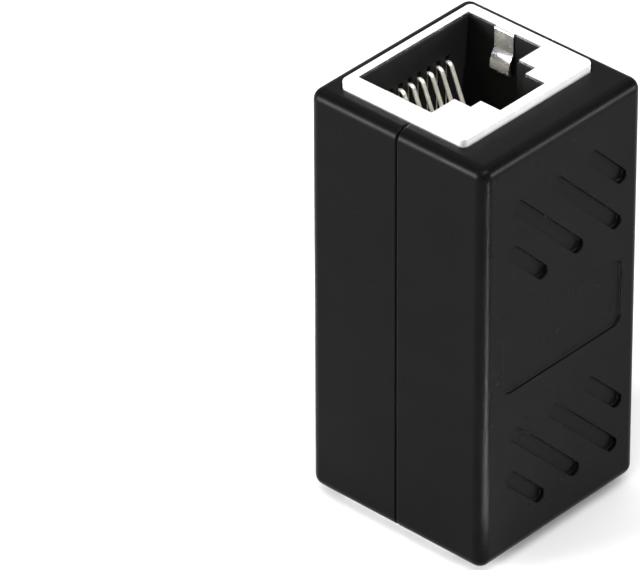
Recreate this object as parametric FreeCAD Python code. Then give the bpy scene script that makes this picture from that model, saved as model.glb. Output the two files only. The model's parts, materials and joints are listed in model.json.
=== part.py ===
import FreeCAD, Part
import math
import os

# Inline coupler that joins two network leads end to end.
# Two shielded jacks stand back to back on one circuit board, inside a two-part moulded housing.
# +Z is the mouth of the upper jack, +X the face with the moulded grooves, and the origin is the
# middle of the lower mouth's face. The lower jack is the upper one turned half round about X.
# A depth is measured into a jack from the outer face of its shield.

# Mouth of a jack, the standard opening for an eight-position plug
mouth_x = 7.0
mouth_y = 11.8
key_wide_y = 6.95
key_wide_rise = 1.55
key_narrow_y = 4.8
key_narrow_rise = 1.85

# Shield, a can folded from thin sheet
rim_back = 0.8
rim_side = 1.1
rim_front = 0.6
sheet = 0.2
shield_corner = 0.8
shield_bend = 0.2
hood_depth = 1.95
leg_width = 1.6
leg_depth = 10.0
leg_root = 0.8
leg_proud = 0.6

# Spring tabs, bent in from the two short sides of the mouth
tab_width = 1.8
tab_from_back = 2.7
tab_inset = 0.15
tab_straight = 1.7
tab_reach = 1.3
tab_lean = 0.35
tab_lip = 0.3
tab_lip_lift = 0.22
tab_bend = 0.22
tab_room = 0.3

# Moulded body of a jack
mouth_step = 0.1
plug_depth = 11.25
carrier_depth = 3.6
front_wall = 1.3
latch_depth = 9.0
peg_radius = 1.2
peg_depth = 7.0
peg_proud = 0.35

# Contacts, flat spring wires
contact_count = 8
contact_pitch = 1.02
wire_width = 0.35
wire_thick = 0.25
wire_skin = 0.225
tip_depth = 3.05
tip_radius = 0.35
slant_deg = 22.8
free_depth = 10.6
rear_bend = 0.5
first_row = 1.05
row_gap = 2.0
pin_proud = 0.85
wire_slot = 0.05
slot_skin = 0.15
slot_start = 2.6

# Carrier at the rear of a jack
carrier_margin = 0.72
comb_length = 0.95
comb_tooth = 0.45
comb_height = 4.0

# Circuit board
board_thick = 1.0
board_end_gap = 0.3
board_side_gap = 0.2
pin_hole_radius = 0.4
pin_sides = 8
solder_radius = 0.75
solder_height = 0.6

# Housing
back_wall = 1.1
back_room = 0.5
front_skin = 1.4
solder_room = 1.2
side_wall = 1.2
side_room = 0.4
end_wall = 1.2
rim_proud = 0.7
middle_gap = 5.7
edge_radius = 0.95
seam_chamfer = 0.15
tongue_thick = 0.5
tongue_height = 0.7
tongue_end = 1.0
rib = 1.0
rib_depths = (5.0, 12.3)
board_rib_inset = 1.6
post_spacing = 10.8
post_radius = 0.9
post_grip = 3.2
socket_wall = 0.75
socket_floor = 0.4

# Moulded pattern on the front face
groove_width = 1.15
groove_sink = 0.4
groove_pitch = 2.95
groove_long = 10.4
groove_short = 5.6
groove_shift = 0.45
groove_rise = 2.0
group_heights = (7.95, 27.6)
panel_y = 12.9
panel_z = 5.8
panel_shift = 0.15
panel_corner = 0.9
panel_sink = 0.2

# Clearances
snug = 0.05
rim_gap = 0.1
hole_gap = 0.05

# How far a cutter runs past a face, and how far a rib runs into its wall
over = 1.0
root = 0.3
same_place = 1e-3

# Widths and lengths that follow
shield_x = rim_back + mouth_x + key_wide_rise + key_narrow_rise + rim_front
shield_y = mouth_y + 2 * rim_side
shield_depth = plug_depth + carrier_depth + 2 * sheet - snug
total_z = 2 * shield_depth + middle_gap
middle_z = total_z / 2
housing_x = back_wall + back_room + shield_x - sheet + board_thick + solder_room + front_skin
housing_y = shield_y + 2 * (side_room + side_wall)

# Places across the coupler, along X
back_face = -housing_x / 2
front_face = housing_x / 2
shield_back = back_face + back_wall + back_room
shield_front = shield_back + shield_x
mouth_back = shield_back + rim_back
mouth_front = mouth_back + mouth_x
key_wide_front = mouth_front + key_wide_rise
key_narrow_front = key_wide_front + key_narrow_rise
board_top = shield_front - sheet
board_under = board_top + board_thick
body_back = shield_back + sheet + snug
body_floor = board_top - snug
front_inner = front_face - front_skin
back_inner = back_face + back_wall

# Places along Y and Z
side_inner = shield_y / 2 + side_room
body_side = shield_y / 2 - sheet - snug
peg_y = (key_wide_y / 2 + body_side) / 2
housing_low = rim_proud
housing_high = total_z - rim_proud
inner_low = housing_low + end_wall
inner_high = housing_high - end_wall
board_side = side_inner - board_side_gap
board_low = inner_low + board_end_gap
board_high = inner_high - board_end_gap

# Wires of the contacts
wire_x = body_back + wire_skin + wire_thick / 2
turn = math.radians(180 - slant_deg)
tip_centre = tip_depth + wire_thick / 2 + tip_radius
tip_corner = tip_centre - tip_radius * math.tan(turn / 2)
pin_depths = (plug_depth + first_row, plug_depth + first_row + row_gap)
pin_end = board_under + pin_proud
carrier_y = contact_pitch * contact_count + 2 * carrier_margin


def vector(x, y, z):
    """A point or direction."""
    return FreeCAD.Vector(x, y, z)


def block(x, y, z):
    """Box between a low and a high value on each axis."""
    return Part.makeBox(x[1] - x[0], y[1] - y[0], z[1] - z[0], vector(x[0], y[0], z[0]))


def across(half, middle=0.0):
    """Low and high value either side of a middle."""
    return (middle - half, middle + half)


def deep(near, far):
    """Z range of the upper jack between two depths."""
    return (total_z - far, total_z - near)


def joined(first, others):
    """First shape with the others fused on, and no seams between them."""
    return first.fuse(others).removeSplitter()


def both_sides(shape):
    """A shape and its mirror image across the middle plane of the width."""
    return [shape, shape.mirror(vector(0, 0, 0), vector(0, 1, 0))]


def both_ends(shape):
    """A shape at the upper jack and the same shape turned round to the lower one."""
    return [shape, turned(shape)]


def turned(shape):
    """Copy of an upper-jack shape, turned half round about X to serve the lower jack."""
    copy = shape.copy()
    copy.rotate(vector(0, 0, middle_z), vector(1, 0, 0), 180)
    return copy


def edges_along(shape, way):
    """Straight edges of a shape that run along a direction."""
    return [e for e in shape.Edges if e.tangentAt(e.FirstParameter).cross(way).Length < same_place]


def rounded_prism(x, y, z, radius):
    """Box along Z with its four long edges rounded."""
    prism = block(x, y, z)
    return prism.makeFillet(radius, edges_along(prism, vector(0, 0, 1)))


def edges_at(shape, place, axis):
    """Edges of a shape that lie wholly at one place along an axis, 'x', 'y' or 'z'."""
    found = []
    for edge in shape.Edges:
        low = getattr(edge.BoundBox, axis.upper() + "Min")
        high = getattr(edge.BoundBox, axis.upper() + "Max")
        if abs(low - place) < same_place and abs(high - place) < same_place:
            found.append(edge)
    return found


def keyed_mouth(inset, z):
    """Prism of the stepped mouth: the plug's rectangle and the two steps of its latch."""
    steps = [
        (mouth_back + inset, mouth_front - inset, mouth_y / 2 - inset),
        (mouth_front - inset, key_wide_front - inset, key_wide_y / 2 - inset),
        (key_wide_front - inset, key_narrow_front - inset, key_narrow_y / 2 - inset),
    ]
    points = []
    for near, far, half in steps:
        points += [vector(near, half, z[0]), vector(far, half, z[0])]
    points += [vector(p.x, -p.y, p.z) for p in reversed(points)]
    face = Part.Face(Part.makePolygon(points + points[:1]))
    return face.extrude(vector(0, 0, z[1] - z[0]))


def strip(points, radii, thickness):
    """Outline face, in the XY plane, of a strip that is bent along a path.

    points are the path's corners in (x, y), and radii the middle-line radius at each inner corner,
    0 for a corner that is only mitred.
    """
    path = [vector(x, y, 0) for x, y in points]
    sides = []
    for offset in (thickness / 2, -thickness / 2):
        edges = []
        start = path[0] + left_of(path[0], path[1]) * offset
        for before, corner, after, radius in zip(path, path[1:], path[2:], radii):
            way_in = (corner - before).normalize()
            way_out = (after - corner).normalize()
            left = way_in.cross(way_out).z > 0
            bend = way_in.getAngle(way_out)
            if radius == 0:
                side = (left_of(before, corner) + left_of(corner, after)).normalize()
                mitre = corner + side * (offset / math.cos(bend / 2))
                edges.append(Part.makeLine(start, mitre))
                start = mitre
                continue
            reach = radius * math.tan(bend / 2)
            hub = corner - way_in * reach + left_of(before, corner) * (radius if left else -radius)
            arm = radius - offset if left else radius + offset
            arc_start = hub + left_of(before, corner) * (-arm if left else arm)
            arc_end = hub + left_of(corner, after) * (-arm if left else arm)
            middle = (arc_start + arc_end) * 0.5 - hub
            arc_middle = hub + middle.normalize() * arm
            edges += [Part.makeLine(start, arc_start), Part.Arc(arc_start, arc_middle, arc_end).toShape()]
            start = arc_end
        edges.append(Part.makeLine(start, path[-1] + left_of(path[-2], path[-1]) * offset))
        sides.append(edges)
    caps = [Part.makeLine(sides[0][-1].Vertexes[-1].Point, sides[1][-1].Vertexes[-1].Point),
            Part.makeLine(sides[0][0].Vertexes[0].Point, sides[1][0].Vertexes[0].Point)]
    return Part.Face(Part.Wire(Part.__sortEdges__(sides[0] + sides[1] + caps)))


def left_of(start, end):
    """Unit vector to the left of the way from one point to another, in the XY plane."""
    way = (end - start).normalize()
    return vector(-way.y, way.x, 0)


def contact_y(index):
    """Place of one contact across the jack."""
    return (index - (contact_count - 1) / 2) * contact_pitch


def pin_depth(index):
    """Depth of a contact's pin: neighbours stand in two staggered rows."""
    return pin_depths[index % 2]


def make_contact(index):
    """Spring wire: pin, riser at the rear, run along the roof, bent tip and free slanting end."""
    free_x = wire_x + (free_depth - tip_corner) * math.tan(math.radians(slant_deg))
    points = [(pin_end, pin_depth(index)), (wire_x + rear_bend, pin_depth(index)),
              (wire_x, pin_depth(index) - rear_bend), (wire_x, tip_corner), (free_x, free_depth)]
    face = strip([(x, total_z - depth) for x, depth in points], [0, 0, tip_radius], wire_thick)
    face.rotate(vector(0, 0, 0), vector(1, 0, 0), 90)
    face.translate(vector(0, contact_y(index) + wire_width / 2, 0))
    return face.extrude(vector(0, -wire_width, 0))


def make_tab():
    """Spring tab in the +Y side of the mouth: bent in, straight, leaning to the plug, lipped back."""
    tab_y = mouth_y / 2 - tab_inset
    plate = sheet / 2
    points = [
        (mouth_y / 2 + tab_inset, total_z - plate),
        (tab_y, total_z - plate),
        (tab_y, total_z - tab_straight),
        (tab_y - tab_lean, total_z - tab_straight - tab_reach),
        (tab_y - tab_lean + tab_lip_lift, total_z - tab_straight - tab_reach - tab_lip),
    ]
    face = strip(points, [tab_bend] * 3, sheet)
    # The outline's x and y become the row's Y and Z.
    face.rotate(vector(0, 0, 0), vector(1, 1, 1), 120)
    face.translate(vector(mouth_back + tab_from_back, 0, 0))
    return face.extrude(vector(tab_width, 0, 0))


def make_shield():
    """Folded can: front plate with the stepped mouth, hood, sides, roof, back, legs and tabs."""
    outer = rounded_prism((shield_back, shield_front), across(shield_y / 2),
                          deep(0, shield_depth), shield_corner)
    outer = outer.makeChamfer(shield_bend, edges_at(outer, total_z, "z"))
    inner = rounded_prism((shield_back + sheet, shield_front - sheet), across(shield_y / 2 - sheet),
                          deep(sheet, shield_depth - sheet), shield_corner - sheet)
    can = outer.cut(inner)
    under = block((shield_front - shield_corner, shield_front + sheet), across(shield_y),
                  deep(hood_depth, shield_depth + sheet))
    can = can.cut([under, keyed_mouth(0, deep(-sheet, 2 * sheet))])
    leg = block((shield_front - shield_corner - leg_root, board_under + leg_proud),
                (shield_y / 2 - sheet, shield_y / 2),
                deep(leg_depth - leg_width / 2, leg_depth + leg_width / 2))
    return joined(can, both_sides(leg) + both_sides(make_tab()))


def make_body():
    """Jack body: stepped mouth, latch chamber, plug cavity, wire slots, tab pockets and pegs."""
    front = sheet + snug
    rear = shield_depth - sheet - snug
    body = rounded_prism((body_back, body_floor), across(body_side), deep(front, rear),
                         shield_corner - sheet - snug)
    plug = block((mouth_back + mouth_step, mouth_front - mouth_step), across(mouth_y / 2 - mouth_step),
                 deep(0, plug_depth))
    latch = block((mouth_front - 2 * mouth_step, key_narrow_front - mouth_step),
                  across(key_wide_y / 2 - mouth_step), deep(front + front_wall, latch_depth))
    chamber = block((mouth_back + mouth_step, body_floor + snug), across(carrier_y / 2 + rim_gap),
                    deep(plug_depth - snug, shield_depth))
    pocket = block(across(tab_width / 2 + rim_gap, mouth_back + tab_from_back + tab_width / 2),
                   (0, mouth_y / 2 + tab_room), deep(0, tab_straight + tab_reach + tab_lip + tab_room))
    slots = []
    for index in range(contact_count):
        slots.append(block((body_back + slot_skin, mouth_back + 2 * mouth_step),
                           across(wire_width / 2 + wire_slot, contact_y(index)),
                           deep(slot_start, pin_depth(index) + wire_thick + wire_slot)))
    cuts = [keyed_mouth(mouth_step, deep(0, front + front_wall + snug)), plug, latch, chamber]
    body = body.cut(cuts + both_sides(pocket) + slots)
    peg_length = board_under + peg_proud - body_floor
    peg = Part.makeCylinder(peg_radius, peg_length + root,
                            vector(body_floor - root, peg_y, total_z - peg_depth), vector(1, 0, 0))
    return joined(body, both_sides(peg))


def make_carrier():
    """Insert at the rear of a jack: a block with a channel for each wire, and a comb in front."""
    top = mouth_back + mouth_step + snug
    near = plug_depth + snug
    far = shield_depth - sheet - 2 * snug
    carrier = block((top, body_floor), across(carrier_y / 2), deep(near, far))
    teeth = []
    for index in range(contact_count + 1):
        teeth.append(block((top, top + comb_height),
                           across(comb_tooth / 2, contact_y(index) - contact_pitch / 2),
                           deep(plug_depth - comb_length, near + root)))
    carrier = joined(carrier, teeth)
    channels = []
    for index in range(contact_count):
        width = across(wire_width / 2 + wire_slot, contact_y(index))
        half = wire_thick / 2 + wire_slot
        riser = pin_depth(index)
        channels.append(block((top - over, body_floor + over), width, deep(riser - half, riser + half)))
        channels.append(block((top - over, wire_x + rear_bend + wire_thick), width,
                              deep(riser - rear_bend - wire_thick, riser + half)))
    return carrier.cut(channels)


def pin_places():
    """Middle of each contact's pin on the board, as (y, z)."""
    upper = [(contact_y(i), total_z - pin_depth(i)) for i in range(contact_count)]
    return upper + [(-y, total_z - z) for y, z in upper]


def leg_places():
    """Middle of each shield leg on the board, as (y, z)."""
    half = shield_y / 2 - sheet / 2
    return [(side * half, z) for side in (1, -1) for z in (total_z - leg_depth, leg_depth)]


def make_board():
    """Circuit board with holes for pins, pegs and posts, and notches for the shield legs."""
    board = block((board_top, board_under), across(board_side), (board_low, board_high))
    round_holes = []
    for side in (1, -1):
        round_holes += [(side * peg_y, z, peg_radius + hole_gap) for z in (peg_depth, total_z - peg_depth)]
        round_holes.append((side * post_spacing / 2, middle_z, post_radius + hole_gap))
    cuts = [Part.makeCylinder(radius, 2 * board_thick, vector(board_top - board_thick / 2, y, z),
                              vector(1, 0, 0)) for y, z, radius in round_holes]
    cuts += [flat_sided(pin_hole_radius, pin_hole_radius, (board_top - over, board_under + over), place)
             for place in pin_places()]
    for y, z in leg_places():
        edge = (shield_y / 2 - sheet - hole_gap, side_inner)
        cuts.append(block((board_top - board_thick, board_under + board_thick),
                          edge if y > 0 else (-edge[1], -edge[0]), across(leg_width / 2 + hole_gap, z)))
    return board.cut(cuts)


def flat_sided(near_radius, far_radius, x, place):
    """Tapered prism along X with a few flat sides, for what is small and repeated on the board."""
    rings = []
    for radius, at in zip((near_radius, far_radius), x):
        turns = [2 * math.pi * i / pin_sides for i in range(pin_sides)]
        rings.append([vector(at, place[0] + radius * math.cos(t), place[1] + radius * math.sin(t))
                      for t in turns])
    near, far = rings
    walls = [[near[i - 1], near[i], far[i], far[i - 1]] for i in range(pin_sides)]
    faces = [Part.Face(Part.makePolygon(points + points[:1])) for points in walls + rings]
    solid = Part.Solid(Part.Shell(faces))
    solid.fix(same_place, same_place, same_place)
    return solid


def make_solder(wires):
    """Joints of solder: a cone round each pin, and a fillet beside each shield leg."""
    joints = []
    for place in pin_places():
        cone = flat_sided(solder_radius, wire_width, (board_under, board_under + solder_height), place)
        joints.append(cone.cut(wires))
    for y, z in leg_places():
        side = 1 if y > 0 else -1
        toe = vector(board_under, y - side * sheet / 2, z - leg_width / 2)
        points = [toe, toe + vector(0, -side * solder_height, 0), toe + vector(leg_proud, 0, 0)]
        face = Part.Face(Part.makePolygon(points + points[:1]))
        joints.append(face.extrude(vector(0, 0, leg_width)))
    return Part.makeCompound([joint.Solids[0] for joint in joints])


def housing_block():
    """Outer form of the closed housing, with all its edges rounded."""
    outer = block((back_face, front_face), across(housing_y / 2), (housing_low, housing_high))
    return outer.makeFillet(edge_radius, outer.Edges)


def housing_room():
    """What is hollow in both halves: the inside, and a rectangular hole for each shield."""
    room = block((back_inner, front_inner), across(side_inner), (inner_low, inner_high))
    hole = rounded_prism((shield_back - rim_gap, shield_front + rim_gap), across(shield_y / 2 + rim_gap),
                         (-over, total_z + over), shield_corner + rim_gap)
    return [room, hole]


def half_of(outer, x):
    """One half of the housing's outer form, its seam edge lightly broken."""
    half = outer.common(block(x, across(housing_y), (0, total_z)))
    return half.makeChamfer(seam_chamfer, edges_at(half, 0, "x"))


def tongues(gap):
    """Tongues along both sides of the seam, grown by a gap for the grooves that take them."""
    tongue = block((-root, tongue_height + gap), (side_inner - gap, side_inner + tongue_thick + gap),
                   (inner_low + tongue_end - gap, inner_high - tongue_end + gap))
    return both_sides(tongue)


def make_back():
    """Back half: pads for the shields' roofs, ribs beside and behind them, and two post sockets."""
    half = half_of(housing_block(), (back_face, 0)).cut(housing_room())
    ribs = []
    for depth in rib_depths:
        place = deep(depth - rib / 2, depth + rib / 2)
        pad = block((back_inner - root, shield_back - snug), across(mouth_y / 2), place)
        side = block((back_inner - root, 0), (shield_y / 2 + snug, side_inner + root), place)
        ribs += both_ends(pad) + both_ends(side) + both_ends(both_sides(side)[1])
    stop = block((back_inner - root, -snug), across(side_inner + root),
                 deep(shield_depth + snug, shield_depth + snug + rib))
    ribs += both_ends(stop)
    socket_half = post_radius + hole_gap + socket_wall
    socket = block((back_inner - root, 0), across(socket_half, post_spacing / 2),
                   across(socket_half, middle_z))
    half = joined(half, ribs + both_sides(socket) + tongues(0))
    bore_floor = -post_grip - socket_floor
    bore = Part.makeCylinder(post_radius + hole_gap, -bore_floor + over,
                             vector(bore_floor, post_spacing / 2, middle_z), vector(1, 0, 0))
    return half.cut(both_sides(bore))


def make_front():
    """Front half: ribs under the board and beside the shields, two posts, and the moulded pattern."""
    half = half_of(housing_block(), (0, front_face)).cut(housing_room())
    ribs = []
    side_low = tongue_height + 2 * snug
    for depth in rib_depths:
        side = block((side_low, board_top - snug), (shield_y / 2 + snug, side_inner + root),
                     deep(depth - rib / 2, depth + rib / 2))
        ribs += both_ends(side) + both_ends(both_sides(side)[1])
    under = (board_under + snug, front_inner + root)
    rest = block(under, across(side_inner + root),
                 (board_high - board_rib_inset - rib, board_high - board_rib_inset))
    ribs += both_ends(rest)
    ribs.append(block(under, across(side_inner + root), across(post_radius + hole_gap + root, middle_z)))
    post = Part.makeCylinder(post_radius, front_inner + post_grip,
                             vector(-post_grip, post_spacing / 2, middle_z), vector(1, 0, 0))
    half = joined(half, ribs + both_sides(post))
    return half.cut(tongues(snug) + pattern_cuts())


def stadium(y, z, length):
    """Cutter for one slanted groove with round ends, its middle at (y, z) on the front face."""
    half = length / 2 - groove_width / 2
    bar = block((front_face - groove_sink, front_face + over), across(half), across(groove_width / 2))
    ends = [Part.makeCylinder(groove_width / 2, groove_sink + over,
                              vector(front_face - groove_sink, side * half, 0), vector(1, 0, 0))
            for side in (1, -1)]
    cutter = joined(bar, ends)
    cutter.rotate(vector(0, 0, 0), vector(1, 0, 0), -45)
    cutter.translate(vector(0, y, z))
    return cutter


def pattern_cuts():
    """Two groups of four slanted grooves, short, long, long, short, and the panel between them."""
    cuts = []
    for group_z in group_heights:
        for row, (length, rise) in enumerate([(groove_short, groove_rise), (groove_long, 0),
                                              (groove_long, 0), (groove_short, -groove_rise)]):
            diagonal = groove_shift + (1.5 - row) * groove_pitch * math.sqrt(2)
            cuts.append(stadium(diagonal - rise, group_z + rise, length))
    panel = block((front_face - panel_sink, front_face + over), across(panel_y / 2, panel_shift),
                  across(panel_z / 2, middle_z))
    return cuts + [panel.makeFillet(panel_corner, edges_along(panel, vector(1, 0, 0)))]


def main():
    """Make every piece and write one file for each."""
    os.makedirs("parts", exist_ok=True)
    contacts = [make_contact(index) for index in range(contact_count)]
    pieces = {
        "housing_front": make_front(),
        "housing_back": make_back(),
        "circuit_board": make_board(),
    }
    for name, shape in [("jack_shield", make_shield()), ("jack_body", make_body()),
                        ("contact_carrier", make_carrier())]:
        pieces[name + "_top"] = shape
        pieces[name + "_bottom"] = turned(shape)
    for number, contact in enumerate(contacts, 1):
        pieces["contact_top_%d" % number] = contact
        pieces["contact_bottom_%d" % number] = turned(contact)
    wires = contacts + [turned(contact) for contact in contacts]
    pieces["solder_joints"] = make_solder(wires)
    for name, shape in pieces.items():
        shape.exportStep("parts/" + name + ".step")
        print(name, "solids", len(shape.Solids), "valid", shape.isValid(), "volume", round(shape.Volume, 3))


main()
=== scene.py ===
import json
import logging
import math
from contextlib import contextmanager
from dataclasses import dataclass, field
from enum import Enum
from typing import Callable, Iterator, Sequence

import bmesh
import bpy
from mathutils import Matrix, Vector


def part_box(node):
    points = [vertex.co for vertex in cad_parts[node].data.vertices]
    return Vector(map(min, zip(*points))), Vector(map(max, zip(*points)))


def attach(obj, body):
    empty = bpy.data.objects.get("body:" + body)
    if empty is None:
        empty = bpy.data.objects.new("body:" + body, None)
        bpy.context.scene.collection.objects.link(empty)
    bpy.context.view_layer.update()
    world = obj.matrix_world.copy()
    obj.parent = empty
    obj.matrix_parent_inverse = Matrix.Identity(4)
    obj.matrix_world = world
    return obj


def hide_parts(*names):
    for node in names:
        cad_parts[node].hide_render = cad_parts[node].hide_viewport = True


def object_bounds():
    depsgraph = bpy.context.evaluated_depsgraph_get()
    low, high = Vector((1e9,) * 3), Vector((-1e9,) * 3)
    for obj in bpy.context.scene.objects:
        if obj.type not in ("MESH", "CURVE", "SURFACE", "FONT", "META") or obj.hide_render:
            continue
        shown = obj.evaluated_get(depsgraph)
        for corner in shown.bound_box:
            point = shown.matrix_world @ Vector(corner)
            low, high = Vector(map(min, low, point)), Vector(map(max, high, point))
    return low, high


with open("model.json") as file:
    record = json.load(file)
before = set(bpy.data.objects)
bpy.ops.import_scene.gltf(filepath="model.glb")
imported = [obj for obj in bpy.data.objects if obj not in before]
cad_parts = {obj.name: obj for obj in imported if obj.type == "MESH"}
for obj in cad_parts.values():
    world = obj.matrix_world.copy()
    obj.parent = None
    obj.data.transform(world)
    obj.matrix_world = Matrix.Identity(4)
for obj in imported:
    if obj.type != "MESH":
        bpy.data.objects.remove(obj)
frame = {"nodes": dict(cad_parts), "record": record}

CAD_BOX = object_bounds()

LOG = logging.getLogger("inline_coupler")

# Pieces are shaped in millimetres and brought to metres when they are done.
PER_METRE = 1000.0
# A length under this, in millimetres, counts as nothing.
TINY = 1e-4
# How far a cutter reaches past what it cuts, in millimetres.
SPARE = 1.0

Triple = tuple[float, float, float]
EdgeTest = Callable[[bmesh.types.BMEdge], bool]


class Slot(Enum):
    """Material slots of the record."""

    HOUSING = "housing"
    JACK_BODY = "jack_body"
    SHIELD = "shield"
    CONTACT = "contact"
    BOARD = "board"
    SOLDER = "solder"


class Mix(Enum):
    """How one closed form acts on another."""

    CUT = "DIFFERENCE"
    JOIN = "UNION"
    KEEP_COMMON = "INTERSECT"


class End(Enum):
    """The two jacks: the upper one, and the lower one turned half round about X."""

    TOP = "top"
    BOTTOM = "bottom"


class Half(Enum):
    """The two halves of the housing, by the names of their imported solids."""

    FRONT = "housing_front"
    BACK = "housing_back"


def in_mm(node: str) -> tuple[Vector, Vector]:
    """Gives a solid's lowest and highest corner in millimetres.

    Args:
        node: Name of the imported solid.

    Returns:
        The lowest and the highest corner.
    """
    low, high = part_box(node)
    return low * PER_METRE, high * PER_METRE


def rim_front_x(reach: float = 1.0) -> float:
    """Finds the front side of the shields' rims on the upper shield's hood.

    Args:
        reach: How far down from the rim the hood is looked at, in millimetres.

    Returns:
        Its place along X in millimetres.
    """
    top = CAD_BOX[1].z
    hood = [vertex.co.x for vertex in frame["nodes"]["jack_shield_top"].data.vertices
            if top - vertex.co.z < reach / PER_METRE]
    return max(hood) * PER_METRE


def activate(piece: bpy.types.Object) -> None:
    """Makes one object the only selected and the active one.

    Args:
        piece: The object.
    """
    bpy.ops.object.select_all(action="DESELECT")
    piece.select_set(True)
    bpy.context.view_layer.objects.active = piece


@contextmanager
def editing(piece: bpy.types.Object, kind: str = "EDGE") -> Iterator[bmesh.types.BMesh]:
    """Opens a piece in edit mode with nothing selected, and closes it again.

    Args:
        piece: The mesh object to shape.
        kind: What is selected, VERT, EDGE or FACE.

    Returns:
        An iterator over the one edit mesh.
    """
    activate(piece)
    bpy.ops.object.mode_set(mode="EDIT")
    bpy.ops.mesh.select_mode(type=kind)
    bpy.ops.mesh.select_all(action="DESELECT")
    yield bmesh.from_edit_mesh(piece.data)
    bpy.ops.object.mode_set(mode="OBJECT")


def add_block(name: str, low: Sequence[float], high: Sequence[float]) -> bpy.types.Object:
    """Adds a box between two corners, its size and place in its mesh.

    Args:
        name: Name of the new object.
        low: Lowest corner in millimetres.
        high: Highest corner in millimetres.

    Returns:
        The new object.
    """
    low, high = Vector(low), Vector(high)
    bpy.ops.object.select_all(action="DESELECT")
    bpy.ops.mesh.primitive_cube_add(size=1.0, location=(low + high) / 2, scale=high - low)
    piece = bpy.context.active_object
    piece.name = name
    piece.data.name = name
    bpy.ops.object.transform_apply(location=True, rotation=True, scale=True)
    return piece


def round_edges(piece: bpy.types.Object, wanted: EdgeTest, radius: float, steps: int) -> None:
    """Rounds the edges that a test picks.

    Args:
        piece: The mesh object to shape.
        wanted: Test that an edge has to pass.
        radius: Radius of the rounding in millimetres.
        steps: Number of faces across the rounding.
    """
    with editing(piece) as mesh:
        for edge in mesh.edges:
            if wanted(edge):
                edge.select_set(True)
        bmesh.update_edit_mesh(piece.data)
        bpy.ops.mesh.bevel(offset=radius, segments=steps, profile=0.5, affect="EDGES",
                           clamp_overlap=False)


def runs_along(axis: int) -> EdgeTest:
    """Makes a test for edges that run along one axis.

    Args:
        axis: Number of the axis, 0 to 2.

    Returns:
        The test.
    """
    def test(edge: bmesh.types.BMEdge) -> bool:
        """Tells whether an edge runs along the axis."""
        way = edge.verts[1].co - edge.verts[0].co
        return abs(abs(way[axis]) - way.length) < TINY
    return test


def lies_at(axis: int, height: float) -> EdgeTest:
    """Makes a test for edges that lie wholly in one plane across an axis.

    Args:
        axis: Number of the axis, 0 to 2.
        height: Where the plane crosses the axis, in millimetres.

    Returns:
        The test.
    """
    def test(edge: bmesh.types.BMEdge) -> bool:
        """Tells whether an edge lies in the plane."""
        return all(abs(vert.co[axis] - height) < TINY for vert in edge.verts)
    return test


def is_crease(edge: bmesh.types.BMEdge, sharp_over: float = 30.0) -> bool:
    """Tells whether two faces meet at an edge at a marked angle, in degrees."""
    return len(edge.link_faces) == 2 and edge.calc_face_angle() > math.radians(sharp_over)


def combine(piece: bpy.types.Object, tool: bpy.types.Object, how: Mix) -> None:
    """Cuts, joins or trims a piece with a second form, which is used up.

    Args:
        piece: The mesh object that stays.
        tool: The closed form that acts on it.
        how: What it does.
    """
    activate(piece)
    bpy.ops.object.modifier_add(type="BOOLEAN")
    modifier = piece.modifiers[-1]
    modifier.operation = how.value
    modifier.solver = "EXACT"
    modifier.object = tool
    bpy.ops.object.modifier_apply(modifier=modifier.name)
    bpy.data.objects.remove(tool)


def copy_of(piece: bpy.types.Object, name: str) -> bpy.types.Object:
    """Copies a piece with a mesh of its own.

    Args:
        piece: The mesh object to copy.
        name: Name of the copy and of its mesh.

    Returns:
        The copy.
    """
    twin = piece.copy()
    twin.data = piece.data.copy()
    twin.name = twin.data.name = name
    bpy.context.scene.collection.objects.link(twin)
    return twin


def place(piece: bpy.types.Object, at: Sequence[float], turn: Triple = (0.0, 0.0, 0.0)) -> None:
    """Turns a piece about the origin and moves it, and keeps both in its mesh.

    Args:
        piece: The mesh object to place.
        at: Where its origin goes, in millimetres.
        turn: Turn about X, Y and Z in radians.
    """
    piece.location = at
    piece.rotation_euler = turn
    activate(piece)
    bpy.ops.object.transform_apply(location=True, rotation=True, scale=True)


def turn_to_bottom(piece: bpy.types.Object) -> None:
    """Turns an upper-jack piece half round about X, through the middle of the coupler."""
    middle = (CAD_BOX[0].z + CAD_BOX[1].z) / 2 * PER_METRE
    place(piece, (0, 0, 2 * middle), (math.pi, 0, 0))


def soften(piece: bpy.types.Object, width: float, steps: int = 2,
           sharp_over: float = 40.0) -> None:
    """Breaks all sharp edges of a piece by a small rounding.

    Args:
        piece: The mesh object to finish.
        width: Radius of the rounding in millimetres.
        steps: Number of faces across it.
        sharp_over: Angle in degrees over which an edge is broken.
    """
    activate(piece)
    bpy.ops.object.modifier_add(type="BEVEL")
    modifier = piece.modifiers[-1]
    modifier.width = width
    modifier.segments = steps
    modifier.limit_method = "ANGLE"
    modifier.angle_limit = math.radians(sharp_over)
    modifier.use_clamp_overlap = True
    bpy.ops.object.modifier_apply(modifier=modifier.name)


def shade(piece: bpy.types.Object, sharp_over: float = 50.0, flatness: int = 100) -> None:
    """Shades a piece smooth, with flat faces kept flat and hard edges kept hard.

    Args:
        piece: The mesh object to finish.
        sharp_over: Angle in degrees over which an edge stays hard.
        flatness: How much large faces rule the normals of small ones, 1 to 100.
    """
    activate(piece)
    bpy.ops.object.shade_smooth_by_angle(angle=math.radians(sharp_over))
    bpy.ops.object.modifier_add(type="WEIGHTED_NORMAL")
    modifier = piece.modifiers[-1]
    modifier.keep_sharp = True
    modifier.weight = flatness
    bpy.ops.object.modifier_apply(modifier=modifier.name)


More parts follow.
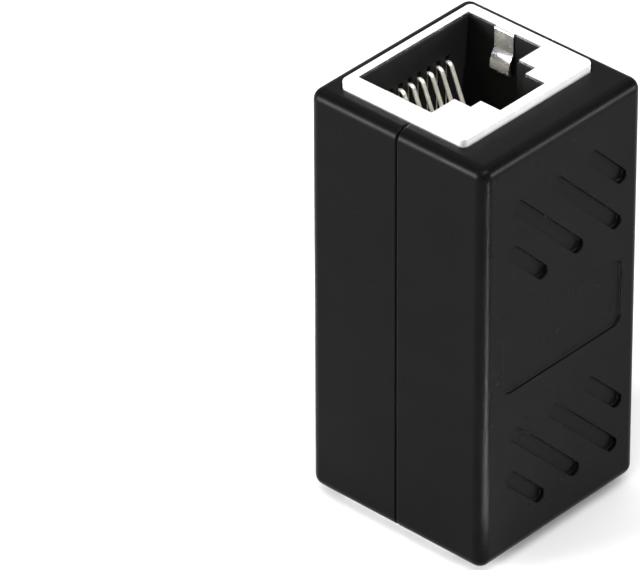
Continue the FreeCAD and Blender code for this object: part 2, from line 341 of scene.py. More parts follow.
def hand_over(piece: bpy.types.Object, slot: Slot, finish: bpy.types.Material,
              *nodes: str) -> None:
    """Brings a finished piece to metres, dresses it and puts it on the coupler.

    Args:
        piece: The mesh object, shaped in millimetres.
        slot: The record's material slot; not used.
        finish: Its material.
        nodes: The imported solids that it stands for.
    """
    piece.scale = (1 / PER_METRE,) * 3
    activate(piece)
    bpy.ops.object.transform_apply(location=True, rotation=True, scale=True)
    piece.data.materials.clear()
    piece.data.materials.append(finish)
    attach(piece, "root")
    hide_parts(*nodes)
    LOG.info("%s: %d faces, stands for %s",
             piece.name, len(piece.data.polygons), ", ".join(nodes))


@dataclass(frozen=True)
class Noise:
    """Random pattern: its features per metre, its octaves and its scale along X, Y and Z."""

    per_metre: float
    detail: float = 2.0
    stretch: Triple = (1.0, 1.0, 1.0)


class Graph:
    """Node tree of one material, with short ways to add and link nodes."""

    def __init__(self, name: str) -> None:
        """Starts a material with a principled shader that is linked to its output.

        Args:
            name: Name of the material.
        """
        self.material = bpy.data.materials.new(name)
        self.material.use_nodes = True
        self.tree = self.material.node_tree
        self.tree.nodes.clear()
        self.shader = self.add("ShaderNodeBsdfPrincipled")
        output = self.add("ShaderNodeOutputMaterial")
        self.link(self.shader.outputs["BSDF"], output.inputs["Surface"])
        self.coordinates = self.add("ShaderNodeTexCoord").outputs["Object"]

    def add(self, kind: str, **settings: object) -> bpy.types.Node:
        """Adds a node.

        Args:
            kind: Blender's name of the node type.
            settings: Values for the node's own properties.

        Returns:
            The new node.
        """
        node = self.tree.nodes.new(kind)
        for key, value in settings.items():
            setattr(node, key, value)
        return node

    def link(self, start: bpy.types.NodeSocket, end: bpy.types.NodeSocket) -> None:
        """Links an output to an input."""
        self.tree.links.new(start, end)

    def noise(self, pattern: Noise) -> bpy.types.NodeSocket:
        """Adds a noise over the piece's own coordinates.

        Args:
            pattern: The noise's fineness and stretch.

        Returns:
            The noise's value output.
        """
        mapping = self.add("ShaderNodeMapping")
        mapping.inputs["Scale"].default_value = pattern.stretch
        self.link(self.coordinates, mapping.inputs["Vector"])
        noise = self.add("ShaderNodeTexNoise")
        noise.inputs["Scale"].default_value = pattern.per_metre
        noise.inputs["Detail"].default_value = pattern.detail
        self.link(mapping.outputs["Vector"], noise.inputs["Vector"])
        return noise.outputs["Fac"]

    def spread(self, value: bpy.types.NodeSocket, low: float, high: float,
               reach: tuple[float, float] = (0.3, 0.7)) -> bpy.types.NodeSocket:
        """Maps a noise or a place to a range of values.

        Args:
            value: The output to map.
            low: Value at the start of the reach.
            high: Value at its end.
            reach: The inputs that give these two values.

        Returns:
            The mapped value's output.
        """
        mapped = self.add("ShaderNodeMapRange")
        mapped.inputs["From Min"].default_value = reach[0]
        mapped.inputs["From Max"].default_value = reach[1]
        mapped.inputs["To Min"].default_value = low
        mapped.inputs["To Max"].default_value = high
        self.link(value, mapped.inputs["Value"])
        return mapped.outputs["Result"]

    def compute(self, operation: str,
                *values: bpy.types.NodeSocket | float) -> bpy.types.NodeSocket:
        """Adds a calculation.

        Args:
            operation: Blender's name of it.
            values: One or two outputs or numbers.

        Returns:
            The result's output.
        """
        node = self.add("ShaderNodeMath", operation=operation)
        for value, socket in zip(values, node.inputs):
            if isinstance(value, float):
                socket.default_value = value
            else:
                self.link(value, socket)
        return node.outputs["Value"]

    def outwards(self, axis: str, middle: float, start: float,
                 end: float) -> bpy.types.NodeSocket:
        """Gives a value that grows from 0 to 1 on the way out along one axis, to both sides.

        Args:
            axis: X, Y or Z.
            middle: Where the middle is, in metres.
            start: Distance from the middle where the value leaves 0.
            end: Distance where it reaches 1.

        Returns:
            The value's output.
        """
        parts = self.add("ShaderNodeSeparateXYZ")
        self.link(self.coordinates, parts.inputs["Vector"])
        distance = self.compute("ABSOLUTE", self.compute("SUBTRACT", parts.outputs[axis], middle))
        return self.spread(distance, 0.0, 1.0, (start, end))

    def blend(self, value: bpy.types.NodeSocket, first: Triple,
              second: Triple) -> bpy.types.NodeSocket:
        """Mixes two colours by a value.

        Args:
            value: How much of the second colour.
            first: Colour at 0.
            second: Colour at 1.

        Returns:
            The mixed colour's output.
        """
        mix = self.add("ShaderNodeMix", data_type="RGBA")
        mix.inputs["A"].default_value = (*first, 1.0)
        mix.inputs["B"].default_value = (*second, 1.0)
        self.link(value, mix.inputs["Factor"])
        return mix.outputs["Result"]

    def bump(self, height: bpy.types.NodeSocket, strength: float, distance: float) -> None:
        """Gives the shader a fine relief.

        Args:
            height: Output that holds the height.
            strength: Strength of the relief.
            distance: Height of the relief in metres.
        """
        node = self.add("ShaderNodeBump")
        node.inputs["Strength"].default_value = strength
        node.inputs["Distance"].default_value = distance
        self.link(height, node.inputs["Height"])
        self.link(node.outputs["Normal"], self.shader.inputs["Normal"])


@dataclass(frozen=True)
class MouldedPlastic:
    """Black plastic from a mould with a fine spark-eroded grain."""

    name: str
    dark: Triple
    light: Triple
    gloss: tuple[float, float]
    specular: float
    cloud: Noise = Noise(260.0, 3.0)
    wear: Noise = Noise(900.0, 4.0)
    grain: Noise = Noise(5200.0, 3.0)
    # A relief is its strength and its height in metres.
    relief: tuple[float, float] = (0.35, 0.000012)

    def make(self) -> bpy.types.Material:
        """Builds the material.

        Returns:
            The material.
        """
        graph = Graph(self.name)
        shades = graph.blend(graph.noise(self.cloud), self.dark, self.light)
        graph.link(shades, graph.shader.inputs["Base Color"])
        roughness = graph.spread(graph.noise(self.wear), *self.gloss)
        graph.link(roughness, graph.shader.inputs["Roughness"])
        graph.shader.inputs["Specular IOR Level"].default_value = self.specular
        graph.bump(graph.noise(self.grain), *self.relief)
        return graph.material


@dataclass(frozen=True)
class PlatedSheet:
    """Nickel plate on rolled sheet, bright inside and satin on the outer sides of the rim."""

    name: str
    color: Triple
    tint: Triple
    gloss: tuple[float, float]
    satin_metallic: float = 0.68
    satin_roughness: float = 0.14
    middle_x: float = -0.0009
    side_x: tuple[float, float] = (0.0052, 0.00585)
    side_y: tuple[float, float] = (0.0062, 0.00695)
    rolling: Noise = Noise(2600.0, 3.0, (1.0, 0.06, 0.06))
    wear: Noise = Noise(1200.0, 3.0)
    relief: tuple[float, float] = (0.04, 0.000002)

    def make(self) -> bpy.types.Material:
        """Builds the material.

        Returns:
            The material.
        """
        graph = Graph(self.name)
        rolling = graph.noise(self.rolling)
        graph.link(graph.blend(rolling, self.color, self.tint), graph.shader.inputs["Base Color"])
        sides = graph.compute("MAXIMUM", graph.outwards("X", self.middle_x, *self.side_x),
                              graph.outwards("Y", 0.0, *self.side_y))
        gloss = graph.spread(graph.noise(self.wear), *self.gloss)
        rough = graph.compute("MULTIPLY", sides, self.satin_roughness)
        graph.link(graph.compute("ADD", gloss, rough), graph.shader.inputs["Roughness"])
        metallic = graph.spread(sides, 1.0, self.satin_metallic, (0.0, 1.0))
        graph.link(metallic, graph.shader.inputs["Metallic"])
        graph.bump(rolling, *self.relief)
        return graph.material


@dataclass(frozen=True)
class PlatedWire:
    """Gold plate on drawn spring wire, with fine lines along the wire."""

    name: str
    color: Triple
    tint: Triple
    gloss: tuple[float, float]
    metallic: float = 0.85
    lines: Noise = Noise(3000.0, 2.0, (0.2, 1.0, 0.2))
    wear: Noise = Noise(1500.0)

    def make(self) -> bpy.types.Material:
        """Builds the material.

        Returns:
            The material.
        """
        graph = Graph(self.name)
        shades = graph.blend(graph.noise(self.lines), self.color, self.tint)
        graph.link(shades, graph.shader.inputs["Base Color"])
        roughness = graph.spread(graph.noise(self.wear), *self.gloss)
        graph.link(roughness, graph.shader.inputs["Roughness"])
        graph.shader.inputs["Metallic"].default_value = self.metallic
        return graph.material


@dataclass(frozen=True)
class SolderMask:
    """Green lacquer over glass fibre, with its weave faintly showing."""

    name: str
    color: Triple
    tint: Triple
    gloss: tuple[float, float]
    weave: Noise = Noise(1400.0, 1.0, (1.0, 1.0, 0.25))
    wear: Noise = Noise(700.0)
    relief: tuple[float, float] = (0.15, 0.00001)

    def make(self) -> bpy.types.Material:
        """Builds the material.

        Returns:
            The material.
        """
        graph = Graph(self.name)
        weave = graph.noise(self.weave)
        graph.link(graph.blend(weave, self.color, self.tint), graph.shader.inputs["Base Color"])
        roughness = graph.spread(graph.noise(self.wear), *self.gloss)
        graph.link(roughness, graph.shader.inputs["Roughness"])
        graph.bump(weave, *self.relief)
        return graph.material


@dataclass(frozen=True)
class Solder:
    """Bright solder, slightly frosted where it froze."""

    name: str
    color: Triple
    tint: Triple
    gloss: tuple[float, float]
    metallic: float = 1.0
    frost: Noise = Noise(3500.0, 4.0)
    relief: tuple[float, float] = (0.2, 0.00001)

    def make(self) -> bpy.types.Material:
        """Builds the material.

        Returns:
            The material.
        """
        graph = Graph(self.name)
        frost = graph.noise(self.frost)
        graph.link(graph.blend(frost, self.color, self.tint), graph.shader.inputs["Base Color"])
        graph.link(graph.spread(frost, *self.gloss), graph.shader.inputs["Roughness"])
        graph.shader.inputs["Metallic"].default_value = self.metallic
        graph.bump(frost, *self.relief)
        return graph.material


@dataclass(frozen=True)
class Recess:
    """Shallow form pressed into a face that looks along +X, with round corners and soft edges."""

    name: str
    size: tuple[float, float]
    corner: float
    depth: float
    floor_radius: float
    lip_radius: float
    overlap: float = 0.02
    around: int = 48
    steps: int = 4

    def profile(self) -> list[tuple[float, float]]:
        """Works out the cutter's side, from its floor to a little over the face.

        Returns:
            Pairs of growth in plan and height over the floor.
        """
        angles = [math.pi / 2 * step / self.steps for step in range(self.steps + 1)]
        floor = [(-self.floor_radius * (1 - math.sin(a)), self.floor_radius * (1 - math.cos(a)))
                 for a in angles]
        lip = [(self.lip_radius * (1 - math.cos(a)),
                self.depth - self.lip_radius * (1 - math.sin(a))) for a in angles[:-1]]
        return floor + lip + [(self.lip_radius, self.depth + self.overlap)]

    def cutter(self) -> bpy.types.Object:
        """Makes the cutter, its opening in the plane x = 0.

        Returns:
            A closed form: a turned button, pulled apart to its length and height.
        """
        levels = self.profile()
        growth, height = levels[0]
        bpy.ops.object.select_all(action="DESELECT")
        bpy.ops.mesh.primitive_circle_add(vertices=self.around, radius=self.corner + growth,
                                          fill_type="NGON")
        button = bpy.context.active_object
        button.name = button.data.name = self.name
        place(button, (0, 0, 0), (0, math.pi / 2, 0))
        place(button, (height - self.depth, 0, 0), (math.pi / self.around, 0, 0))
        bpy.ops.object.mode_set(mode="EDIT")
        bpy.ops.mesh.select_mode(type="FACE")
        bpy.ops.mesh.select_all(action="SELECT")
        for before, after in zip(levels, levels[1:]):
            rise = (after[1] - before[1], 0, 0)
            bpy.ops.mesh.extrude_region_move(TRANSFORM_OT_translate={"value": rise})
            scale = (self.corner + after[0]) / (self.corner + before[0])
            bpy.ops.transform.resize(value=(1, scale, scale), center_override=(0, 0, 0))
        bpy.ops.object.mode_set(mode="OBJECT")
        for axis, length in ((1, self.size[0]), (2, self.size[1])):
            for side in (1, -1):
                self.pull(button, axis, side, length / 2 - self.corner)
        with editing(button, "FACE"):
            bpy.ops.mesh.select_all(action="SELECT")
            bpy.ops.mesh.normals_make_consistent(inside=False)
        return button

    def pull(self, button: bpy.types.Object, axis: int, side: int, distance: float) -> None:
        """Moves one half of the button outwards.

        Args:
            button: The button.
            axis: Axis to move along.
            side: 1 for the half on the positive side, -1 for the other.
            distance: How far, in millimetres.
        """
        if distance < TINY:
            return
        with editing(button, "VERT") as mesh:
            for vert in mesh.verts:
                if side * vert.co[axis] > 0:
                    vert.select_set(True)
            bmesh.update_edit_mesh(button.data)
            move = Vector((0, 0, 0))
            move[axis] = side * distance
            bpy.ops.transform.translate(value=move)


@dataclass
class Housing:
    """The two moulded halves, with the seam between them and the pattern on the front."""

    finish: bpy.types.Material
    edge_radius: float = 0.95
    edge_steps: int = 8
    seam_x: float = 0.0
    # With a back_break of 0.08 the back half's flat ends close over the mouths.
    front_break: float = 0.25
    back_break: float = 0.12
    seam_steps: int = 4
    front_wall: float = 1.4
    back_wall: float = 1.1
    side_wall: float = 1.2
    end_wall: float = 1.2
    rim_gap: float = 0.1
    mouth_break: float = 0.08
    mouth_steps: int = 2
    shield_corner: float = 0.5
    corner_steps: int = 6
    groove_width: float = 1.15
    groove_depth: float = 0.4
    groove_pitch: float = 2.95
    groove_long: float = 10.4
    groove_short: float = 5.6
    groove_rise: float = 2.0
    groove_shift: float = 0.45
    group_heights: tuple[float, float] = (7.95, 27.6)
    panel_size: tuple[float, float] = (12.9, 5.8)
    panel_shift: float = 0.15
    panel_corner: float = 0.9
    panel_depth: float = 0.2
    floor_radius: float = 0.12
    lip_radius: float = 0.08

    def __post_init__(self) -> None:
        """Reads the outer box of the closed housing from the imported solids."""
        back_low, _ = in_mm("housing_back")
        _, front_high = in_mm("housing_front")
        self.low, self.high = back_low, front_high

    def build(self) -> None:
        """Builds both halves."""
        for half in Half:
            piece = self.outer_form(half.value + "_shell")
            if half is Half.FRONT:
                self.press_pattern(piece)
            self.split(piece, half)
            self.hollow(piece)
            shade(piece)
            hand_over(piece, Slot.HOUSING, self.finish, half.value)

    def outer_form(self, name: str) -> bpy.types.Object:
        """Makes the closed block with all its edges rounded.

        Args:
            name: Name of the piece.

        Returns:
            The block.
        """
        piece = add_block(name, self.low, self.high)
        round_edges(piece, lambda edge: True, self.edge_radius, self.edge_steps)
        return piece

    def split(self, piece: bpy.types.Object, half: Half) -> None:
        """Keeps one half of the block and breaks its edge along the seam, down to the flat ends.

        Args:
            piece: The closed block.
            half: The half to keep.
        """
        is_front = half is Half.FRONT
        reach = self.high + Vector((SPARE, SPARE, SPARE))
        low = Vector((self.seam_x if is_front else -reach.x, -reach.y, -SPARE))
        high = Vector((reach.x if is_front else self.seam_x, reach.y, reach.z))
        combine(piece, add_block("half_space", low, high), Mix.KEEP_COMMON)
        in_seam = lies_at(0, self.seam_x)
        at_ends = lies_at(2, self.low.z), lies_at(2, self.high.z)
        round_edges(piece,
                    lambda edge: in_seam(edge) and not any(at_end(edge) for at_end in at_ends),
                    self.front_break if is_front else self.back_break, self.seam_steps)

    def hollow(self, piece: bpy.types.Object) -> None:
        """Cuts the room inside and the mouths for the shields, and breaks the ends' sharp edges.

        Args:
            piece: One half of the housing.
        """
        room = add_block("room", self.low + Vector((self.back_wall, self.side_wall, self.end_wall)),
                         self.high - Vector((self.front_wall, self.side_wall, self.end_wall)))
        combine(piece, room, Mix.CUT)
        low, high = in_mm("jack_shield_top")
        gap = self.rim_gap
        mouth = add_block("mouth", (low.x - gap, low.y - gap, self.low.z - SPARE),
                          (rim_front_x() + gap, high.y + gap, self.high.z + SPARE))
        round_edges(mouth, runs_along(2), self.shield_corner + gap, self.corner_steps)
        combine(piece, mouth, Mix.CUT)
        for end_z in (self.low.z, self.high.z):
            at_end = lies_at(2, end_z)
            round_edges(piece, lambda edge: at_end(edge) and is_crease(edge),
                        self.mouth_break, self.mouth_steps)

    def press_pattern(self, piece: bpy.types.Object) -> None:
        """Presses the two groups of grooves and the panel into the front face.

        Args:
            piece: The closed block.
        """
        rows = [(self.groove_short, self.groove_rise), (self.groove_long, 0.0),
                (self.groove_long, 0.0), (self.groove_short, -self.groove_rise)]
        cutters = {length: Recess("groove", (length, self.groove_width), self.groove_width / 2,
                                  self.groove_depth, self.floor_radius, self.lip_radius).cutter()
                   for length in (self.groove_short, self.groove_long)}
        for group_z in self.group_heights:
            for row, (length, level) in enumerate(rows):
                from_middle = ((len(rows) - 1) / 2 - row) * self.groove_pitch
                diagonal = self.groove_shift + from_middle * math.sqrt(2)
                groove = copy_of(cutters[length], f"groove_{row}")
                at = (self.high.x, diagonal - level, group_z + level)
                place(groove, at, (-math.pi / 4, 0, 0))
                combine(piece, groove, Mix.CUT)
        for cutter in cutters.values():
            bpy.data.objects.remove(cutter)
        panel = Recess("panel", self.panel_size, self.panel_corner,
                       self.panel_depth, self.floor_radius, self.lip_radius).cutter()
        place(panel, (self.high.x, self.panel_shift, (self.low.z + self.high.z) / 2))
        combine(piece, panel, Mix.CUT)


@dataclass
class BentStrip:
    """Flat strip of metal that is bent as by hand, its runs and bends added at its free end."""

    name: str
    start: Vector
    heading: Vector
    across: Vector
    width: float
    thickness: float
    first_run: float
    bend_steps: int = 8
    piece: bpy.types.Object = field(init=False)

    def __post_init__(self) -> None:
        """Adds the first straight run as a block."""
        flat = self.heading.cross(self.across)
        half = self.across * (self.width / 2) + flat * (self.thickness / 2)
        corners = [self.start - half, self.start + half,
                   self.start + self.heading * self.first_run - half,
                   self.start + self.heading * self.first_run + half]
        low = [min(c[i] for c in corners) for i in range(3)]
        high = [max(c[i] for c in corners) for i in range(3)]
        self.piece = add_block(self.name, low, high)
        self.tip = self.start + self.heading * self.first_run

    def _pick_end(self, mesh: bmesh.types.BMesh) -> None:
        """Selects the face at the strip's free end.

        Args:
            mesh: The strip's edit mesh.
        """
        end = min(mesh.faces, key=lambda face: (face.calc_center_median() - self.tip).length
                  - face.normal.dot(self.heading))
        end.select_set(True)
        bmesh.update_edit_mesh(self.piece.data)

    def run(self, length: float) -> "BentStrip":
        """Adds a straight run.

        Args:
            length: Its length in millimetres.

        Returns:
            The strip itself.
        """
        with editing(self.piece, "FACE") as mesh:
            self._pick_end(mesh)
            step = self.heading * length
            bpy.ops.mesh.extrude_region_move(TRANSFORM_OT_translate={"value": step})
        self.tip = self.tip + self.heading * length
        return self

    def bend(self, degrees: float, radius: float) -> "BentStrip":
        """Adds a bend about the strip's width.

        Args:
            degrees: Angle of the bend, positive to the side of across x heading.
            radius: Radius of the strip's middle line.

        Returns:
            The strip itself.
        """
        side = self.across.cross(self.heading) * (1 if degrees > 0 else -1)
        centre = self.tip + side * radius
        angle = math.radians(degrees)
        with editing(self.piece, "FACE") as mesh:
            self._pick_end(mesh)
            # A spin turns against the right-hand rule.
            bpy.ops.mesh.spin(steps=self.bend_steps, angle=-angle, center=centre, axis=self.across)
        turn = Matrix.Rotation(angle, 3, self.across)
        self.tip = centre + turn @ (self.tip - centre)
        self.heading = turn @ self.heading
        return self


@dataclass
class Jack:
    """The metal of both jacks: a folded shield with spring tabs and eight contact wires each."""

    shield_finish: bpy.types.Material
    wire_finish: bpy.types.Material
    sheet: float = 0.2
    corner: float = 0.5
    corner_steps: int = 8
    bend: float = 0.2
    bend_steps: int = 5
    rim_back: float = 0.8
    rim_side: float = 1.1
    mouth_x: float = 7.0
    key_steps: tuple[tuple[float, float], ...] = ((6.95, 1.55), (4.8, 1.85))
    hood_depth: float = 1.95
    hood_reach: float = 0.8
    leg_depth: float = 10.0
    leg_width: float = 1.6
    edge_break: float = 0.03
    # A tab is bent in over the mouth's edge, drops, leans over, bows back and ends in a lip.
    tab_width: float = 1.8
    tab_from_back: float = 2.7
    tab_inset: float = 0.1
    tab_bend: float = 0.12
    tab_drop: float = 1.5
    tab_lean: float = 42.0
    tab_bow: float = 1.8
    tab_flat: float = 0.15
    lip_angle: float = 30.0
    lip_bend: float = 0.3
    wire_count: int = 8
    wire_width: float = 0.35
    wire_thick: float = 0.25
    wire_break: float = 0.11
    rear_bend: float = 0.5
    tip_depth: float = 3.05
    tip_radius: float = 0.35
    slant: float = 22.8
    free_depth: float = 10.6

    def __post_init__(self) -> None:
        """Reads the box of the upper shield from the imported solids."""
        self.low, self.high = in_mm("jack_shield_top")

    def build(self) -> None:
        """Builds the metal of the upper jack, and a turned copy of each piece for the lower one."""
        shield = self.shield()
        self.hand_out(shield, "jack_shield_{}", Slot.SHIELD, self.shield_finish)
        bpy.data.objects.remove(shield)
        self.build_wires()

    def hand_out(self, model: bpy.types.Object, node: str, slot: Slot, finish: bpy.types.Material,
                 across: float = 0.0) -> None:
        """Puts one copy of a piece in each jack.

        Args:
            model: The piece as it stands in the upper jack, at Y = 0.
            node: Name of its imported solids, with braces where the end's name goes.
            slot: The record's material slot.
            finish: Its material.
            across: How far it is moved along Y, in millimetres.
        """
        for end in End:
            name = node.format(end.value)
            piece = copy_of(model, name + "_formed")
            place(piece, (0, across, 0))
            if end is End.BOTTOM:
                turn_to_bottom(piece)
            shade(piece)
            hand_over(piece, slot, finish, name)

    def tab(self) -> bpy.types.Object:
        """Makes the spring tab at the +Y side of the mouth: bent in, leaning over, lipped back.

        Returns:
            The tab.
        """
        edge = self.high.y - self.rim_side
        start = Vector((self.tab_middle(), edge + self.tab_inset, self.high.z - self.sheet / 2))
        strip = BentStrip("tab", start, Vector((0, -1, 0)), Vector((1, 0, 0)), self.tab_width,
                          self.sheet, 2 * self.tab_inset - self.tab_bend)
        strip.bend(90, self.tab_bend).run(self.tab_drop)
        strip.bend(-self.tab_lean, self.tab_bend).bend(self.tab_lean, self.tab_bow)
        strip.run(self.tab_flat).bend(self.lip_angle, self.lip_bend).run(self.tab_flat)
        return strip.piece

    def tab_middle(self) -> float:
        """Gives the place of the tabs' middle along X."""
        return self.low.x + self.rim_back + self.tab_from_back + self.tab_width / 2

    def shield(self) -> bpy.types.Object:
        """Makes the folded can with its stepped mouth, its legs and its spring tabs.

        Returns:
            The shield of the upper jack.
        """
        low, high = self.low.copy(), self.high.copy()
        board_x = high.x
        high.x = rim_front_x()
        can = add_block("can", low, high)
        round_edges(can, runs_along(2), self.corner, self.corner_steps)
        round_edges(can, lies_at(2, high.z), self.bend, self.bend_steps)
        wall = Vector((self.sheet,) * 3)
        inner = add_block("inner", low + wall, high - wall)
        round_edges(inner, runs_along(2), self.corner - self.sheet, self.corner_steps)
        combine(can, inner, Mix.CUT)
        under = add_block("under", (high.x - self.hood_reach, low.y - SPARE, low.z - SPARE),
                          (high.x + SPARE, high.y + SPARE, high.z - self.hood_depth))
        combine(can, under, Mix.CUT)
        combine(can, self.mouth_tool(low, high), Mix.CUT)
        for side in (1, -1):
            inner_y, outer_y = sorted((side * high.y, side * (high.y - self.sheet)))
            leg_z = high.z - self.leg_depth
            leg = add_block("leg",
                            (high.x - 2 * self.hood_reach, inner_y, leg_z - self.leg_width / 2),
                            (board_x, outer_y, leg_z + self.leg_width / 2))
            combine(can, leg, Mix.JOIN)
        tab = self.tab()
        twin = copy_of(tab, "tab_twin")
        place(twin, (2 * self.tab_middle(), 0, 0), (0, 0, math.pi))
        combine(can, tab, Mix.JOIN)
        combine(can, twin, Mix.JOIN)
        soften(can, self.edge_break)
        return can

    def mouth_tool(self, low: Vector, high: Vector) -> bpy.types.Object:
        """Makes the stepped form that opens the mouth for the plug and its latch.

        Args:
            low: Lowest corner of the can.
            high: Highest corner of the can.

        Returns:
            The cutter.
        """
        near = low.x + self.rim_back
        far = near + self.mouth_x
        half = high.y - self.rim_side
        below, above = high.z - 2 * self.sheet, high.z + SPARE
        tool = add_block("mouth_tool", (near, -half, below), (far, half, above))
        for width, rise in self.key_steps:
            step = add_block("step", (near + SPARE, -width / 2, below),
                             (far + rise, width / 2, above))
            combine(tool, step, Mix.JOIN)
            far += rise
        return tool

    def build_wires(self) -> None:
        """Puts the eight wires in each jack, modelled once for each row of pins."""
        models: dict[float, bpy.types.Object] = {}
        for number in range(1, self.wire_count + 1):
            low, high = in_mm(f"contact_top_{number}")
            row = round(low.z, 2)
            if row not in models:
                models[row] = self.wire(low, high)
            self.hand_out(models[row], f"contact_{{}}_{number}", Slot.CONTACT, self.wire_finish,
                          (low.y + high.y) / 2)
        for model in models.values():
            bpy.data.objects.remove(model)

    def wire(self, low: Vector, high: Vector) -> bpy.types.Object:
        """Bends one wire from its pin to its free end, at Y = 0.

        Args:
            low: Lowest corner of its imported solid.
            high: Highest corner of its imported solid.

        Returns:
            The wire.
        """
        run_x = low.x + self.wire_thick / 2
        pin_z = low.z + self.wire_thick / 2
        strip = BentStrip("wire", Vector((high.x, 0, pin_z)), Vector((-1, 0, 0)), Vector((0, 1, 0)),
                          self.wire_width, self.wire_thick, high.x - run_x - self.rear_bend)
        tip_z = self.high.z - self.tip_depth - self.wire_thick / 2 - self.tip_radius
        strip.bend(90, self.rear_bend).run(tip_z - pin_z - self.rear_bend)
        strip.bend(180 - self.slant, self.tip_radius)
        way_down = strip.tip.z - (self.high.z - self.free_depth)
        strip.run(way_down / math.cos(math.radians(self.slant)))
        soften(strip.piece, self.wire_break)
        return strip.piece


def hang(data: bpy.types.Light, way: Triple, distance: float, aim: Triple) -> None:
    """Hangs a light in the room so that it shines at a point.

    Args:
        data: The light.
        way: Direction from the point to the light.
        distance: Distance between them in metres.
        aim: The point, in metres.
    """
    light = bpy.data.objects.new(data.name, data)
    bpy.context.scene.collection.objects.link(light)
    upwards = Vector(way).normalized()
    light.location = Vector(aim) + upwards * distance
    light.rotation_euler = (-upwards).to_track_quat("-Z", "Y").to_euler()


@dataclass(frozen=True)
class Lamp:
    """Rectangular soft light, aimed at the coupler from a direction."""

    name: str
    way: Triple
    distance: float
    size: tuple[float, float]
    radiance: float
    aim: Triple = (0.0, 0.0, 0.025)
    spread_degrees: float = 180.0

    def add(self) -> None:
        """Adds the light; its power follows from its radiance and area."""
        data = bpy.data.lights.new(self.name, "AREA")
        data.shape = "RECTANGLE"
        data.size, data.size_y = self.size
        data.energy = self.radiance * math.pi * self.size[0] * self.size[1]
        data.spread = math.radians(self.spread_degrees)
        hang(data, self.way, self.distance, self.aim)


@dataclass(frozen=True)
class Snoot:
    """Narrow beam that lights only the upper mouth and its rim."""

    name: str
    way: Triple
    distance: float
    cone_degrees: float
    power: float
    aim: Triple = (-0.001, 0.0, 0.0355)
    edge_blend: float = 0.4
    radius: float = 0.012

    def add(self) -> None:
        """Adds the light."""
        data = bpy.data.lights.new(self.name, "SPOT")
        data.energy = self.power
        data.spot_size = math.radians(self.cone_degrees)
        data.spot_blend = self.edge_blend
        data.shadow_soft_size = self.radius
        hang(data, self.way, self.distance, self.aim)


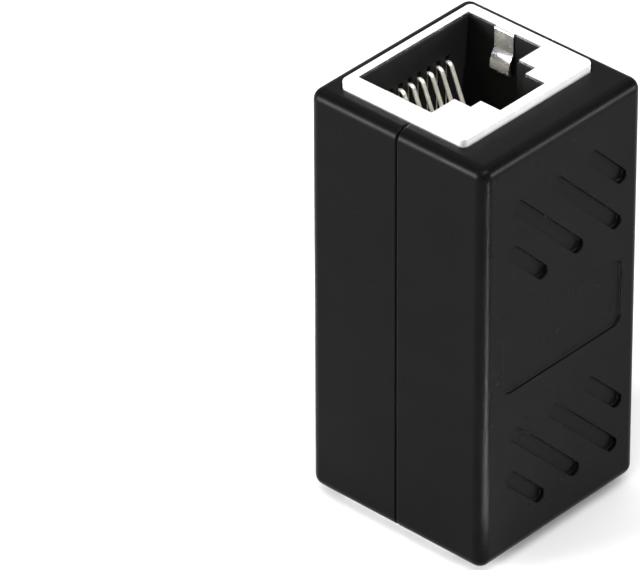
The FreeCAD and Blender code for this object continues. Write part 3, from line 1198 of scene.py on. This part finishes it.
@dataclass
class Studio:
    """Pale floor, soft lights and the camera at the photograph's viewing angle."""

    lens: float = 426.6
    sensor_width: float = 36.0
    clip: tuple[float, float] = (0.05, 10.0)
    eye: Triple = (0.30077, -0.34219, 0.32767)
    right: Triple = (0.73665, 0.67626, -0.00444)
    down: Triple = (0.37753, -0.41668, -0.82695)
    floor_size: float = 4.0
    floor_color: Triple = (0.86, 0.86, 0.86)
    floor_roughness: float = 0.8
    room_strength: float = 0.2
    lamps: tuple[Lamp, ...] = (
        Lamp("left_panel", way=(-0.545, -0.83, 0.17), distance=0.50,
             size=(0.30, 0.16), radiance=42.0),
        Lamp("right_panel", way=(0.78, 0.62, 0.15), distance=0.50,
             size=(0.30, 0.14), radiance=22.0),
        Lamp("front_box", way=(0.35, -0.35, 0.87), distance=0.60,
             size=(0.40, 0.40), radiance=5.4),
        Lamp("rear_box", way=(-0.45, 0.45, 0.77), distance=0.70,
             size=(1.10, 0.90), radiance=1.10),
        Lamp("floor_strip", way=(0.198, -0.004, 0.98), distance=0.12,
             size=(0.009, 0.054), radiance=32.0, aim=(0.043, -0.0093, 0.0), spread_degrees=3.0),
    )
    snoot: Snoot = Snoot("mouth_snoot", way=(0.50, 0.08, 0.86), distance=0.30,
                         cone_degrees=3.2, power=18.0)

    def build(self) -> None:
        """Builds the floor, the lights and the camera."""
        self.add_camera()
        self.add_floor()
        self.add_world()
        for lamp in (*self.lamps, self.snoot):
            lamp.add()
        bpy.context.scene.view_settings.view_transform = "Standard"

    def add_camera(self) -> None:
        """Adds the camera with a long lens and no shift."""
        data = bpy.data.cameras.new("camera")
        data.lens = self.lens
        data.sensor_width = self.sensor_width
        data.clip_start, data.clip_end = self.clip
        camera = bpy.data.objects.new("camera", data)
        bpy.context.scene.collection.objects.link(camera)
        right, down = Vector(self.right).normalized(), Vector(self.down).normalized()
        back = right.cross(-down)
        camera.matrix_world = Matrix((
            (right.x, -down.x, back.x, self.eye[0]),
            (right.y, -down.y, back.y, self.eye[1]),
            (right.z, -down.z, back.z, self.eye[2]),
            (0, 0, 0, 1),
        ))
        bpy.context.scene.camera = camera

    def add_floor(self) -> None:
        """Adds the pale floor under the coupler."""
        bpy.ops.object.select_all(action="DESELECT")
        bpy.ops.mesh.primitive_plane_add(size=self.floor_size, location=(0, 0, CAD_BOX[0].z))
        floor = bpy.context.active_object
        floor.name = "floor"
        graph = Graph("pale_floor")
        graph.shader.inputs["Base Color"].default_value = (*self.floor_color, 1.0)
        graph.shader.inputs["Roughness"].default_value = self.floor_roughness
        floor.data.materials.append(graph.material)

    def add_world(self) -> None:
        """Fills the room with soft white light."""
        world = bpy.data.worlds.new("room")
        world.use_nodes = True
        background = world.node_tree.nodes["Background"]
        background.inputs["Color"].default_value = (1.0, 1.0, 1.0, 1.0)
        background.inputs["Strength"].default_value = self.room_strength
        bpy.context.scene.world = world


def dress_solids(finishes: dict[Slot, bpy.types.Material]) -> None:
    """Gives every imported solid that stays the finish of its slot.

    Args:
        finishes: Material of each slot.
    """
    slots = {row["node"]: Slot(row["material_slot"]) for row in frame["record"]["subparts"]}
    for node, solid in frame["nodes"].items():
        solid.data.materials.clear()
        solid.data.materials.append(finishes[slots[node]])


def main() -> None:
    """Builds the studio and the coupler in order."""
    logging.basicConfig(level=logging.INFO, format="%(name)s: %(message)s")
    Studio().build()
    finishes = {
        Slot.HOUSING: MouldedPlastic("housing_plastic", dark=(0.0018, 0.0018, 0.0019),
                                     light=(0.0028, 0.0028, 0.0029), gloss=(0.27, 0.34),
                                     specular=0.038).make(),
        Slot.JACK_BODY: MouldedPlastic("jack_plastic", dark=(0.004, 0.004, 0.004),
                                       light=(0.006, 0.006, 0.006), gloss=(0.45, 0.55),
                                       specular=0.15).make(),
        Slot.SHIELD: PlatedSheet("nickel_plate", color=(0.93, 0.93, 0.92),
                                 tint=(0.88, 0.88, 0.87), gloss=(0.22, 0.30)).make(),
        Slot.CONTACT: PlatedWire("gold_plate", color=(0.96, 0.92, 0.83),
                                 tint=(0.93, 0.87, 0.75), gloss=(0.35, 0.45)).make(),
        Slot.BOARD: SolderMask("board_lacquer", color=(0.02, 0.16, 0.06),
                               tint=(0.03, 0.2, 0.08), gloss=(0.25, 0.4)).make(),
        Slot.SOLDER: Solder("solder", color=(0.75, 0.75, 0.76),
                            tint=(0.62, 0.62, 0.63), gloss=(0.2, 0.45)).make(),
    }
    dress_solids(finishes)
    Housing(finishes[Slot.HOUSING]).build()
    Jack(finishes[Slot.SHIELD], finishes[Slot.CONTACT]).build()


if __name__ == "__main__":
    main()
